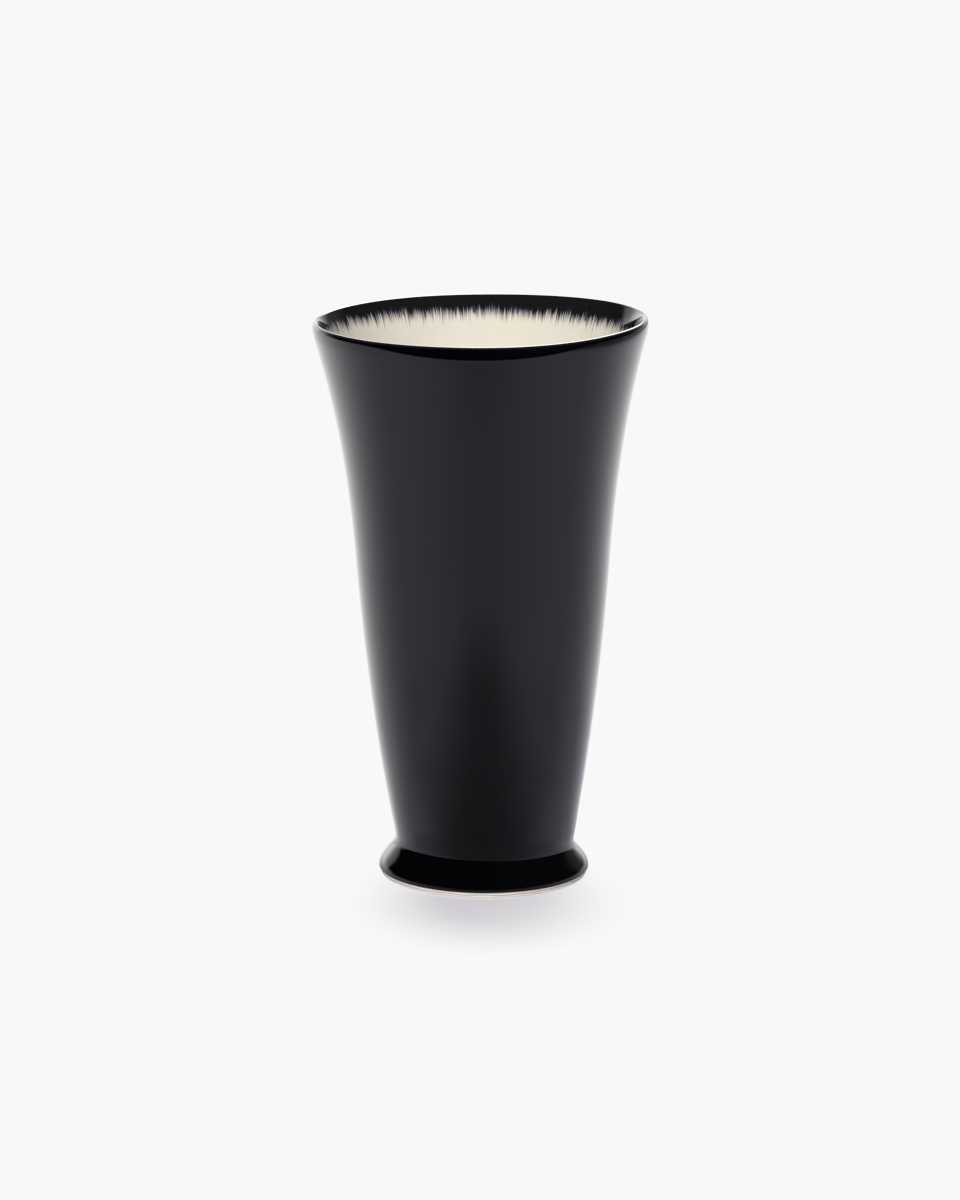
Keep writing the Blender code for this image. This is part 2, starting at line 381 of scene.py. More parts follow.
# %% [markdown]
# ## The porcelain
#
# Bowl and foot are the clay under the glaze. Nearly all of it is covered; only the toe
# that the beaker stands on stays bare, because glaze there would fuse to the kiln
# shelf. The clay is made complete all the same, so the glaze has something to lie on.

# %% The bowl
SKIN_GAP = 0.00001
CLAY_DEPTH = GLAZE + SKIN_GAP


def glazed_bowl():
    """The whole glazed surface of the bowl: up the outside, over the lip, down inside."""
    wall = [point for point in outside() if point[1] > NECK_HEIGHT]
    inside = inner_wall(crest_end_z, FLOOR_HEIGHT + FLOOR_CORNER, 60)
    return wall + crest(0.0, CREST_END, 30)[1:] + inside[1:] + inner_floor()


neck_clay = NECK_RADIUS - CLAY_DEPTH
bowl_outline = [(0.0, NECK_HEIGHT), (neck_clay, NECK_HEIGHT)]
bowl_outline += offset(glazed_bowl(), CLAY_DEPTH)
bowl = turn("porcelain_bowl", bowl_outline, closed=False)
place(bowl, "bowl")

# %% [markdown]
# The foot is a ring. Its bare toe stands back a little under the glaze and is rubbed
# round below. Over it come a small ledge where the glaze stops and the flared shoulder,
# and a sloping inner wall goes round the recess.

# %% The foot
TOE_STEP = 0.0006
# Heights on the toe, and how far its side stands in there
TOE_BEVEL = ((0.0, 0.00045), (0.00012, 0.00022), (0.00035, 0.00006), (0.00060, 0.0))
STAND_WIDTH = 0.0038
INNER_ROUND = 0.0003
FOOT_TOP_WIDTH = 0.0035

toe_radius = FOOT_RADIUS - TOE_STEP
stand_radius = toe_radius - STAND_WIDTH
recess_radius = neck_clay - FOOT_TOP_WIDTH
recess_lean = (recess_radius - stand_radius) / NECK_HEIGHT


def foot_outline():
    """Section of the foot, all the way round it."""
    centre = (stand_radius + INNER_ROUND, INNER_ROUND)
    inner = ellipse(centre, INNER_ROUND, INNER_ROUND, 180.0, 270.0, 5)
    toe = [(toe_radius - inset, z) for z, inset in TOE_BEVEL]
    ledge = [(toe_radius, GLAZE_LINE - 2 * SKIN_GAP)]
    ledge += [(FOOT_RADIUS - CLAY_DEPTH, GLAZE_LINE - SKIN_GAP)]
    side = [point for point in outside() if point[1] < NECK_HEIGHT]
    top = [(neck_clay, NECK_HEIGHT), (recess_radius, NECK_HEIGHT)]
    return inner + toe + ledge + offset(side, CLAY_DEPTH) + top


foot = turn("porcelain_foot", foot_outline())
place(foot, "foot")

# %% [markdown]
# ## The glaze coats
#
# Each coat is its own closed shell, 0.4 mm thick, on the surface of the section. Where
# the black ends above the toe it draws back into a rounded bead. At the lip it meets
# the brushed band edge to edge, so the surface goes on without a step.

# %% Black glaze outside
BEAD_WIDTH = 0.0003
BEAD_HEIGHT = SHOULDER_HEIGHT - GLAZE_LINE

bead_centre = (FOOT_RADIUS - BEAD_WIDTH, SHOULDER_HEIGHT)
bead = ellipse(bead_centre, BEAD_WIDTH, BEAD_HEIGHT, -90.0, 0.0, 8)
outer_surface = outside() + crest(0.0, BAND_ANGLE, 5)[1:]
outer_back = glaze_back(outer_surface) + [(FOOT_RADIUS - GLAZE, GLAZE_LINE)]
outer_glaze = turn("black_outer_glaze", bead[:-1] + outer_surface + outer_back)
place(outer_glaze, "outer_glaze")

# %% [markdown]
# The band is a coat of its own over the lip, because black was brushed on there after
# the beaker was glazed. It goes down the inside far enough to carry the brush strokes,
# which its material draws.

# %% Brushed band over the lip
band_low = HEIGHT - BAND_DEPTH
band_surface = crest(BAND_ANGLE, CREST_END, 40) + inner_wall(crest_end_z, band_low, 24)[1:]
rim_band = turn("brushed_rim_band", band_surface + glaze_back(band_surface))
place(rim_band, "rim_band")

# %% [markdown]
# The cream takes over where the band ends, on the same surface and in the same colour,
# so that the change from one piece to the other is hard to see. It runs down the wall
# and closes in the middle of the floor.

# %% Cream glaze inside
inner_surface = inner_wall(band_low, FLOOR_HEIGHT + FLOOR_CORNER, 64) + inner_floor()
inner_glaze = turn("cream_inner_glaze", glaze_back(inner_surface) + inner_surface, closed=False)
place(inner_glaze, "inner_glaze")

# %% [markdown]
# The recess under the foot is glazed too, so that it washes clean. The coat starts
# above the bare toe, climbs the sloping wall and closes over the bottom of the bowl.

# %% Black glaze in the recess of the foot
RECESS_LINE = 0.0012
RECESS_CORNER = 0.0015


def recess_surface():
    """Clay surface of the recess, from its glaze line up and in to the axis."""
    centre_z = NECK_HEIGHT - RECESS_CORNER
    centre = (stand_radius + recess_lean * centre_z - RECESS_CORNER, centre_z)
    corner = ellipse(centre, RECESS_CORNER, RECESS_CORNER, 0.0, 90.0, 10)
    low = (stand_radius + recess_lean * RECESS_LINE, RECESS_LINE)
    flat = [(radius, NECK_HEIGHT) for radius in spread(centre[0], 0.0, 6)]
    return [low] + corner + flat[1:]


clay_side = offset(recess_surface(), SKIN_GAP)
air_side = offset(recess_surface(), CLAY_DEPTH)
recess_glaze = turn("black_recess_glaze", air_side[::-1] + clay_side, closed=False)
place(recess_glaze, "recess_glaze")

# %% [markdown]
# ## Helpers for materials
#
# Materials are built from nodes, and small helpers keep that readable. The first places
# a node and wires its inputs: a value that is already a socket is wired, and a plain
# number is typed in. The next two do one step of arithmetic and map one range of numbers
# on another. A range is written as (from, to, value at from, value at to), so that it
# can have a name of its own.


# %% Place and wire nodes
def add(tree, kind, inputs=None, **options):
    """Place a node, set its options, and wire or type in its inputs."""
    node = tree.nodes.new(kind)
    for name, value in options.items():
        setattr(node, name, value)
    for key, value in (inputs or {}).items():
        if isinstance(value, bpy.types.NodeSocket):
            tree.links.new(value, node.inputs[key])
        else:
            node.inputs[key].default_value = value
    return node


def calc(tree, operation, first, second=0.0, third=0.0):
    """One step of arithmetic."""
    node = add(tree, "ShaderNodeMath", {0: first, 1: second, 2: third}, operation=operation)
    return node.outputs[0]


def remap(tree, value, low, high, to_low=0.0, to_high=1.0, curve="SMOOTHSTEP"):
    """Map one range of numbers on another, held at its ends."""
    inputs = {"Value": value, "From Min": low, "From Max": high}
    inputs.update({"To Min": to_low, "To Max": to_high})
    return add(tree, "ShaderNodeMapRange", inputs, interpolation_type=curve).outputs["Result"]


# %% Products, places, blends and noise
def times(tree, first, *others):
    """The product of two or more values."""
    product = first
    for other in others:
        product = calc(tree, "MULTIPLY", product, other)
    return product


def less(tree, value, share):
    """The value with a share of it taken away."""
    return times(tree, value, calc(tree, "SUBTRACT", 1.0, share))


def here(tree):
    """The place on the object, whole and as its x, y and z."""
    whole_place = add(tree, "ShaderNodeTexCoord").outputs["Object"]
    parts = add(tree, "ShaderNodeSeparateXYZ", {0: whole_place}).outputs
    return whole_place, parts[0], parts[1], parts[2]


def distance(tree, vector):
    """Length of a vector."""
    return add(tree, "ShaderNodeVectorMath", {0: vector}, operation="LENGTH").outputs["Value"]


def opaque(colour):
    """A plain colour with full alpha; a socket stays as it is."""
    return colour if isinstance(colour, bpy.types.NodeSocket) else (*colour, 1.0)


def mix(tree, share, first, second):
    """Blend two colours by a share from 0 to 1."""
    inputs = {0: share, 6: opaque(first), 7: opaque(second)}
    return add(tree, "ShaderNodeMix", inputs, data_type="RGBA").outputs[2]


def noise(tree, vector, scale, detail=2.0, roughness=0.5):
    """Noise value at a scale in features per metre."""
    inputs = {"Vector": vector, "Scale": scale, "Detail": detail, "Roughness": roughness}
    return add(tree, "ShaderNodeTexNoise", inputs).outputs["Fac"]


# %% Groups and materials
def new_group(name, inputs, outputs):
    """An empty node group with named number inputs and named outputs."""
    group = bpy.data.node_groups.new(name, "ShaderNodeTree")
    for label, value in inputs.items():
        socket = group.interface.new_socket(label, in_out="INPUT", socket_type="NodeSocketFloat")
        socket.default_value = value
    for label in outputs:
        group.interface.new_socket(label, in_out="OUTPUT", socket_type="NodeSocketFloat")
    return group, group.nodes.new("NodeGroupInput"), group.nodes.new("NodeGroupOutput")


def new_material(name, colour):
    """A node material with its Principled shader, and a colour for plain views."""
    material = bpy.data.materials.new(name)
    material.use_nodes = True
    material.diffuse_color = (*colour, 1.0)
    return material.node_tree, material.node_tree.nodes["Principled BSDF"], material


def dress(piece, material):
    """Give a piece its only material."""
    piece.data.materials.clear()
    piece.data.materials.append(material)
    print(piece.name, "wears", material.name)


# %% [markdown]
# ## What a melted glaze looks like
#
# Glaze melts into a glassy skin that is never quite flat: it waves over centimetres
# where it was dipped, has a fine peel over millimetres, and holds a few pinholes where
# gas came through. All glazes of the beaker share this, in different strength, so it
# is one group that puts out a tone, a polish and a height.

# %% Group: melted glaze
TONE_CLOUDS = (45.0, 3.0)
POLISH_CLOUDS = (160.0, 4.0, 0.6)
CLOUD_RANGE = (0.3, 0.7)
PEEL_NOISE = (420.0, 1.0)
WAVE_NOISE = (70.0, 1.0)
PIT_SCALE = 260.0
PIT_RARITY = 0.94
PIT_EDGE = (0.02, 0.07, 1.0, 0.0)

melt, melt_in, melt_out = new_group(
    "melted_glaze", {"Peel": 0.3, "Wave": 0.5, "Pinholes": 0.5}, ("Tone", "Polish", "Height")
)
melt_place = add(melt, "ShaderNodeTexCoord").outputs["Object"]
melt_tone = remap(melt, noise(melt, melt_place, *TONE_CLOUDS), *CLOUD_RANGE, curve="LINEAR")
melt_polish = remap(melt, noise(melt, melt_place, *POLISH_CLOUDS), *CLOUD_RANGE)
pits = add(melt, "ShaderNodeTexVoronoi", {"Vector": melt_place, "Scale": PIT_SCALE}, feature="F1")
pit_draw = add(melt, "ShaderNodeSeparateColor", {0: pits.outputs["Color"]}).outputs[0]
rare = calc(melt, "GREATER_THAN", pit_draw, PIT_RARITY)
pit = times(melt, remap(melt, pits.outputs["Distance"], *PIT_EDGE), rare)
pit = times(melt, pit, melt_in.outputs["Pinholes"])
peel = times(melt, noise(melt, melt_place, *PEEL_NOISE), melt_in.outputs["Peel"])
wave = times(melt, noise(melt, melt_place, *WAVE_NOISE), melt_in.outputs["Wave"])
melt_height = calc(melt, "SUBTRACT", calc(melt, "ADD", peel, wave), pit)
for label, value in (("Tone", melt_tone), ("Polish", melt_polish), ("Height", melt_height)):
    melt.links.new(value, melt_out.inputs[label])
print("melted glaze group:", len(melt.nodes), "nodes")

# %% [markdown]
# ## Glass over colour
#
# A glaze is clear glass over colour. In the shader the base stands for the coloured
# glass and a clear coat for the smooth skin over it, both with the IOR of glass. Peel,
# waves and pinholes are hundredths of a millimetre deep, too low to model, so they
# become a slight bump.

# %% Finish shared by the glossy glazes
GLASS_IOR = 1.5
SKIN_ROUGHNESS = 0.03
GLAZE_RELIEF = 0.00002


def gloss(tree, shader, melt_values, roughness, extra_height=None):
    """Wire polish and relief of a glaze into its shader; returns the group's outputs."""
    outputs = add(tree, "ShaderNodeGroup", melt_values, node_tree=melt).outputs
    polish = remap(tree, outputs["Polish"], 0.0, 1.0, *roughness, "LINEAR")
    tree.links.new(polish, shader.inputs["Roughness"])
    height = outputs["Height"]
    if extra_height is not None:
        height = calc(tree, "ADD", height, extra_height)
    relief = {"Height": height, "Distance": GLAZE_RELIEF, "Strength": 1.0}
    bump = add(tree, "ShaderNodeBump", relief)
    tree.links.new(bump.outputs["Normal"], shader.inputs["Normal"])
    tree.links.new(bump.outputs["Normal"], shader.inputs["Coat Normal"])
    shader.inputs["IOR"].default_value = GLASS_IOR
    shader.inputs["Coat Weight"].default_value = 1.0
    shader.inputs["Coat Roughness"].default_value = SKIN_ROUGHNESS
    shader.inputs["Coat IOR"].default_value = GLASS_IOR
    return outputs


# %% [markdown]
# ## Black glaze
#
# The black is a glassy coat over a body of iron oxides. It has almost no colour of its
# own, a cold violet black, and what the eye sees is the room in it. Along its lowest
# edge over the toe a paler line is painted into its colour: partly the thin glaze
# breaking to a paler tone, partly a painted highlight for the light that the rounded
# edge of the glaze catches.

# %% Black glaze material
BLACK = (0.0007, 0.0006, 0.0010)
BLACK_LIGHT = (0.0014, 0.0012, 0.0020)
BLACK_PLAIN = (0.012, 0.012, 0.014)
# Pale colour along the glaze's lowest edge: thin glaze and a painted highlight
THIN_GLAZE_AND_HIGHLIGHT = (0.30, 0.25, 0.23)
PAINTED_HIGHLIGHT_TOP = (0.35, 0.65, GLAZE_LINE + 0.00004, GLAZE_LINE + 0.00016)
PAINTED_HIGHLIGHT_FADE = (-0.0001, 0.0, 1.0, 0.0)

black_tree, black_shader, black_glaze = new_material("black_glaze", BLACK_PLAIN)
black_melt = {"Peel": 0.10, "Wave": 1.0, "Pinholes": 0.3}
black_parts = gloss(black_tree, black_shader, black_melt, roughness=(0.03, 0.06))
black_tone = mix(black_tree, black_parts["Tone"], BLACK, BLACK_LIGHT)
black_place, _, _, black_z = here(black_tree)
# Painted highlight: a pale line along the lowest edge of the glaze, its height wavering with a
# noise
highlight_top = remap(black_tree, noise(black_tree, black_place, 90.0), *PAINTED_HIGHLIGHT_TOP)
thin_and_highlight = remap(black_tree, calc(black_tree, "SUBTRACT", black_z, highlight_top), *PAINTED_HIGHLIGHT_FADE)
black_colour = mix(black_tree, thin_and_highlight, black_tone, THIN_GLAZE_AND_HIGHLIGHT)
black_tree.links.new(black_colour, black_shader.inputs["Base Color"])
dress(outer_glaze, black_glaze)
dress(recess_glaze, black_glaze)

# %% [markdown]
# ## Cream glaze
#
# The inside is a warm off-white. Cream glaze is a little milky, so its tone drifts
# softly between two close colours. It shares the melted skin of the black, with more
# pinholes and a softer polish.

# %% Cream glaze material
CREAM = (0.818, 0.776, 0.682)
CREAM_DEEP = (0.780, 0.728, 0.618)

cream_tree, cream_shader, cream_glaze = new_material("cream_glaze", (0.80, 0.75, 0.65))
cream_melt = {"Peel": 0.10, "Wave": 0.6, "Pinholes": 0.6}
cream_parts = gloss(cream_tree, cream_shader, cream_melt, roughness=(0.06, 0.12))
cream_tone = mix(cream_tree, cream_parts["Tone"], CREAM, CREAM_DEEP)
cream_tree.links.new(cream_tone, cream_shader.inputs["Base Color"])
dress(inner_glaze, cream_glaze)

# %% [markdown]
# ## The brushed band
#
# The decorator turned the beaker on a wheel and pulled a loaded brush over the lip and
# down into the cream. The brush leaves solid black at the lip, then a wash that thins
# out downward with dry gaps in it, and past the wash single bristles draw fine strokes.
#
# A stroke is long downward and narrow sideways, so the noise that draws it is sampled
# on a cylinder with its height squeezed. Four widths of such noise, from clumps of six
# millimetres to single hairs, move the edge of the wash up and down. Three more cut
# the gaps, draw the strokes and give each stroke its length.

# %% Where the brush went
STROKE_RADIUS = 41.5
MILLIMETRES = 1000.0


def brush_place(tree):
    """Place round the lip on a cylinder and depth below the lip, all in mm."""
    _, x, y, z = here(tree)
    depth = times(tree, calc(tree, "SUBTRACT", HEIGHT, z), MILLIMETRES)
    radius = calc(tree, "SQRT", calc(tree, "ADD", times(tree, x, x), times(tree, y, y)))
    round_x = times(tree, calc(tree, "DIVIDE", x, radius), STROKE_RADIUS)
    round_y = times(tree, calc(tree, "DIVIDE", y, radius), STROKE_RADIUS)
    return round_x, round_y, depth


def bristles(tree, brush, width, squeeze, seed):
    """Noise with features of a width in mm, drawn out downward."""
    round_x, round_y, depth = brush
    height = calc(tree, "MULTIPLY_ADD", depth, squeeze, seed)
    vector = add(tree, "ShaderNodeCombineXYZ", {0: round_x, 1: round_y, 2: height}).outputs[0]
    return noise(tree, vector, 1.0 / width, detail=0.0)


# %% Strokes of the brush
BRUSH_REACH = 5.0
# Width in mm, squeeze and seed of the noise, and how far it moves the edge in mm
EDGE_BRISTLES = (
    ((6.0, 0.05, 3.0), 0.7),
    ((1.8, 0.05, 11.0), 0.9),
    ((0.6, 0.04, 23.0), 1.7),
    ((0.28, 0.04, 37.0), 2.8),
)
WASH_FADE = (-2.0, 1.7, 1.0, 0.0)
GAP_BRISTLES = (0.46, 0.04, 57.0)
GAP_RANGE = (0.50, 0.64)
GAP_DEPTH = (-1.9, 0.4, 0.0, 0.55)
STROKE_BRISTLES = (0.42, 0.03, 83.0)
STROKE_RANGE = (0.52, 0.66)
STROKE_FADE = (-0.4, 1.0, 0.92, 0.0)
LENGTH_BRISTLES = (0.9, 0.03, 97.0)
LENGTH_RANGE = (0.42, 0.74, 0.5, 4.0, "LINEAR")


def stroke_field(tree):
    """Ink from 0 to 1 at a place on the band."""
    brush = brush_place(tree)
    edge = BRUSH_REACH
    for kind, share in EDGE_BRISTLES:
        field = calc(tree, "SUBTRACT", bristles(tree, brush, *kind), 0.5)
        edge = calc(tree, "MULTIPLY_ADD", field, share, edge)
    past = calc(tree, "SUBTRACT", brush[2], edge)
    gaps = remap(tree, bristles(tree, brush, *GAP_BRISTLES), *GAP_RANGE)
    gaps = times(tree, gaps, remap(tree, past, *GAP_DEPTH))
    wash = less(tree, remap(tree, past, *WASH_FADE), gaps)
    stroke = remap(tree, bristles(tree, brush, *STROKE_BRISTLES), *STROKE_RANGE)
    length = remap(tree, bristles(tree, brush, *LENGTH_BRISTLES), *LENGTH_RANGE)
    fade = remap(tree, calc(tree, "DIVIDE", past, length), *STROKE_FADE)
    return calc(tree, "MAXIMUM", wash, times(tree, stroke, fade))


# %% Brushed band material
INK = (0.0095, 0.0092, 0.0102)
HALF_INK = (0.112, 0.107, 0.132)
HALF_INK_RANGE = (0.0, 0.86)
FULL_INK_RANGE = (0.80, 1.0)
INK_THICKNESS = 0.5

band_tree, band_shader, band_glaze = new_material("brushed_band", BLACK_PLAIN)
band_melt = {"Peel": 0.10, "Wave": 0.8, "Pinholes": 0.4}
ink = stroke_field(band_tree)
ink_height = times(band_tree, ink, INK_THICKNESS)
band_parts = gloss(band_tree, band_shader, band_melt, (0.04, 0.08), extra_height=ink_height)
ground = mix(band_tree, band_parts["Tone"], CREAM, CREAM_DEEP)
half_inked = remap(band_tree, ink, *HALF_INK_RANGE, curve="LINEAR")
full_inked = remap(band_tree, ink, *FULL_INK_RANGE, curve="LINEAR")
washed = mix(band_tree, half_inked, ground, HALF_INK)
inked = mix(band_tree, full_inked, washed, INK)
band_tree.links.new(inked, band_shader.inputs["Base Color"])
dress(rim_band, band_glaze)

# %% [markdown]
# ## Bare porcelain
#
# The toe is unglazed: a dense white body with a fine grain, rubbed smooth. In the kiln
# iron from the glaze soaks into the clay beside it. It leaves a thin brown line round
# the toe, whose height wanders a little with a noise. Right under the glaze's edge the
# clay is painted browner, partly that iron and partly painted shade under the glaze's
# overhanging edge.

# %% Bare porcelain material
CLAY = (0.86, 0.81, 0.78)
CLAY_SHADE = (0.79, 0.73, 0.69)
# Brown of iron in the clay, also used as painted shade right under the glaze's edge
FLASH_AND_SHADE = (0.31, 0.225, 0.195)
MOTTLE_NOISE = (350.0, 3.0)
GRAIN_NOISE = (2600.0, 3.0, 0.6)
GRAIN_RELIEF = 0.00003
GRAIN_ROUGHNESS = (0.3, 0.7, 0.45, 0.62)
FLASH_HEIGHTS = (0.35, 0.65, 0.00064, 0.00080)
FLASH_WIDTH = (0.00005, 0.00017, 0.95, 0.0)
# Ramp up to the glaze's edge: partly iron from the glaze, partly painted shade under its overhang
IRON_AND_SHADE_TO_GLAZE = (0.00110, GLAZE_LINE, 0.0, 0.60)

clay_tree, clay_shader, clay = new_material("bare_porcelain", (0.78, 0.72, 0.68))
clay_place, _, _, clay_z = here(clay_tree)
mottle = remap(clay_tree, noise(clay_tree, clay_place, *MOTTLE_NOISE), 0.35, 0.65)
clay_body = mix(clay_tree, mottle, CLAY, CLAY_SHADE)
flash_line = remap(clay_tree, noise(clay_tree, clay_place, 120.0), *FLASH_HEIGHTS)
from_line = calc(clay_tree, "ABSOLUTE", calc(clay_tree, "SUBTRACT", clay_z, flash_line))
flash_and_shade = remap(clay_tree, from_line, *FLASH_WIDTH)
# Painted shade under the glaze's overhang, together with the iron, darkens the clay towards the
# glaze's edge
flash_and_shade = calc(clay_tree, "MAXIMUM", flash_and_shade, remap(clay_tree, clay_z, *IRON_AND_SHADE_TO_GLAZE))
clay_colour = mix(clay_tree, flash_and_shade, clay_body, FLASH_AND_SHADE)
clay_tree.links.new(clay_colour, clay_shader.inputs["Base Color"])
grain = noise(clay_tree, clay_place, *GRAIN_NOISE)
clay_tree.links.new(remap(clay_tree, grain, *GRAIN_ROUGHNESS), clay_shader.inputs["Roughness"])
grain_relief = {"Height": grain, "Distance": GRAIN_RELIEF, "Strength": 1.0}
clay_bump = add(clay_tree, "ShaderNodeBump", grain_relief)
clay_tree.links.new(clay_bump.outputs["Normal"], clay_shader.inputs["Normal"])
dress(foot, clay)
dress(bowl, clay)

# %% [markdown]
# ## Lamps
#
# Two very soft suns light the scene. A sun has no falloff, so the table is lit evenly
# however wide it is. One stands behind and above, a little to the right, and throws the
# short shadow forward. The other stands in front and above and fills the inside of the
# beaker. Neither is mirrored in the glaze: what is mirrored there is the room.

# %% Two soft suns
AMBIENT = 0.35
SUN_BEHIND = {"azimuth": 172.0, "elevation": 62.0, "white": 0.50, "softness": 46.0}
SUN_FRONT = {"azimuth": -11.0, "elevation": 30.0, "white": 0.78, "softness": 40.0}


def toward(azimuth, elevation):
    """Unit vector to a place in the room: azimuth 0 is the camera's side, 90 the right."""
    turned, raised = math.radians(azimuth), math.radians(elevation)
    across, along = math.sin(turned), -math.cos(turned)
    return Vector((across * math.cos(raised), along * math.cos(raised), math.sin(raised)))


def soft_sun(name, azimuth, elevation, white, softness):
    """A sun under which a white surface that faces it reaches the brightness given."""
    lamp = bpy.data.lights.new(name, "SUN")
    lamp.energy = white * math.pi
    lamp.angle = math.radians(softness)
    item = bpy.data.objects.new(name, lamp)
    item.rotation_mode = "QUATERNION"
    item.rotation_quaternion = (-toward(azimuth, elevation)).to_track_quat("-Z", "Y")
    item.visible_camera = False
    item.visible_glossy = False
    bpy.context.scene.collection.objects.link(item)
    return white * math.sin(math.radians(elevation))


table_light = AMBIENT + soft_sun("sun_behind", **SUN_BEHIND) + soft_sun("sun_front", **SUN_FRONT)
print("light on a white table:", round(table_light, 3))

# %% [markdown]
# ## The table top
#
# The beaker stands on a wide white table, one flat face whose upper side faces up.

# %% Table top
FLOOR_HALF = 12.0

floor_corners = [
    (-FLOOR_HALF, -FLOOR_HALF, 0.0),
    (FLOOR_HALF, -FLOOR_HALF, 0.0),
    (FLOOR_HALF, FLOOR_HALF, 0.0),
    (-FLOOR_HALF, FLOOR_HALF, 0.0),
]
floor_mesh = bpy.data.meshes.new("table_top")
floor_mesh.from_pydata(floor_corners, [], [(0, 1, 2, 3)])
floor = bpy.data.objects.new("table_top", floor_mesh)
bpy.context.scene.collection.objects.link(floor)
print("table top:", 2 * FLOOR_HALF, "m wide")

# %% [markdown]
# ## The table in the glaze
#
# A black glaze shows its surroundings rather than itself, so the table that it mirrors
# has a brightness of its own, which only glossy rays see. It goes by bearing round the
# beaker and by distance: dim in front, brighter round the sides towards the back, and
# darker close to the beaker, which takes light from the table. A soft shadow lies
# before the beaker, and past the table's front edge all is dark. Left and right have
# values of their own, because the light comes from one side more than from the other.


# %% Bearings and sides
def bearing(tree, x, y):
    """Degrees round the beaker from the camera's side, alike to the left and the right."""
    turned = calc(tree, "ARCTAN2", x, times(tree, y, -1.0))
    return times(tree, calc(tree, "ABSOLUTE", turned), 180.0 / math.pi)


def by_side(tree, to_left, left, right):
    """A value of its own on the left and on the right, blended between them."""
    return calc(tree, "MULTIPLY_ADD", to_left, left - right, right)


# %% Glow of the mirrored table
# Pairs are (left, right); ramps are in degrees or metres
GLOW_FRONT = 0.25
GLOW_SIDE = (0.095, 0.070)
SIDE_RAMP = (0.0, 60.0)
GLOW_BACK = 0.57
BACK_START = (74.0, 82.0)
BACK_SPAN = 91.0
GLOW_CLOSE = 0.25
CLOSE_REACH = (0.045, 0.130, 1.0, 0.0)
CLOSE_RAMP = (108.0, 132.0)


def table_glow(tree, degrees, away, to_left):
    """Brightness of the open table, and a glow close behind the beaker on the left."""
    side = by_side(tree, to_left, *GLOW_SIDE)
    glow = calc(tree, "MULTIPLY_ADD", remap(tree, degrees, *SIDE_RAMP), side, GLOW_FRONT)
    start = by_side(tree, to_left, *BACK_START)
    back = remap(tree, degrees, start, calc(tree, "ADD", start, BACK_SPAN))
    glow = calc(tree, "MULTIPLY_ADD", back, GLOW_BACK, glow)
    close = times(tree, remap(tree, away, *CLOSE_REACH), remap(tree, degrees, *CLOSE_RAMP))
    return calc(tree, "MULTIPLY_ADD", times(tree, close, to_left), GLOW_CLOSE, glow)


# %% Shade of the beaker on the mirrored table
NEAR_REACH = (0.130, 0.190, 1.0, 0.0)
BEFORE_SIDE_RISE = (12.0, 34.0)
BEFORE_SIDE_FALL = (68.0, 86.0, 1.0, 0.0)
BESIDE_DIM = (0.064, 0.086, 0.0, 0.14)
FOOT_DIM = (0.041, 0.049, 0.25, 0.0)
PAST_START = (104.0, 92.0)
PAST_SPAN = 15.0
PAST_FALL = (135.0, 155.0, 1.0, 0.3)
PAST_DIM = (0.11, 0.19)


def beaker_shade(tree, degrees, away, to_left):
    """Share of its light that the table loses close to the beaker."""
    before_side = remap(tree, degrees, *BEFORE_SIDE_RISE)
    before_side = times(tree, before_side, remap(tree, degrees, *BEFORE_SIDE_FALL))
    beside = times(tree, before_side, remap(tree, away, *BESIDE_DIM))
    start = by_side(tree, to_left, *PAST_START)
    past = remap(tree, degrees, start, calc(tree, "ADD", start, PAST_SPAN))
    past = times(tree, past, remap(tree, degrees, *PAST_FALL), by_side(tree, to_left, *PAST_DIM))
    dim = times(tree, remap(tree, away, *NEAR_REACH), calc(tree, "ADD", beside, past))
    return calc(tree, "MULTIPLY_ADD", before_side, remap(tree, away, *FOOT_DIM), dim)


# %% Shadow before the beaker on the mirrored table
SHADOW_SIDES = (0.008, 0.098, 1.0, 0.0)
SHADOW_START = (0.012, 0.045)
SHADOW_END = (0.128, 0.248, 1.0, 0.0)
SHADOW_DEPTH = (0.050, 0.150, 0.69, 0.55, "LINEAR")


def front_shadow(tree, x, y):
    """Share of its light that the table loses in the shadow before the beaker."""
    ahead = times(tree, y, -1.0)
    shadow = remap(tree, calc(tree, "ABSOLUTE", x), *SHADOW_SIDES)
    for ramp in (SHADOW_START, SHADOW_END, SHADOW_DEPTH):
        shadow = times(tree, shadow, remap(tree, ahead, *ramp))
    return shadow


# %% The mirrored table as a whole
LEFT_HALF = (-0.03, 0.03, 1.0, 0.0)
TABLE_FRONT = -0.278
FRONT_EDGE = (TABLE_FRONT - 0.01, TABLE_FRONT)
RIGHT_FADE = (0.38, 0.70, 1.0, 0.3)
BEHIND_FOOT_REACH = (0.034, 0.042, 1.0, 0.0)
BEHIND_FOOT_RAMP = (85.0, 118.0)
BEHIND_FOOT_GLOW = (0.97, 0.62)


def mirrored_table(tree):
    """Brightness of the table as the glaze mirrors it, by place on the table."""
    where, x, y, _ = here(tree)
    away = distance(tree, where)
    degrees = bearing(tree, x, y)
    to_left = remap(tree, x, *LEFT_HALF)
    value = table_glow(tree, degrees, away, to_left)
    value = less(tree, value, beaker_shade(tree, degrees, away, to_left))
    value = less(tree, value, front_shadow(tree, x, y))
    value = times(tree, value, remap(tree, y, *FRONT_EDGE), remap(tree, x, *RIGHT_FADE))
    behind_foot = remap(tree, away, *BEHIND_FOOT_REACH)
    behind_foot = times(tree, behind_foot, remap(tree, degrees, *BEHIND_FOOT_RAMP))
    behind_foot = times(tree, behind_foot, by_side(tree, to_left, *BEHIND_FOOT_GLOW))
    return calc(tree, "MAXIMUM", value, behind_foot)


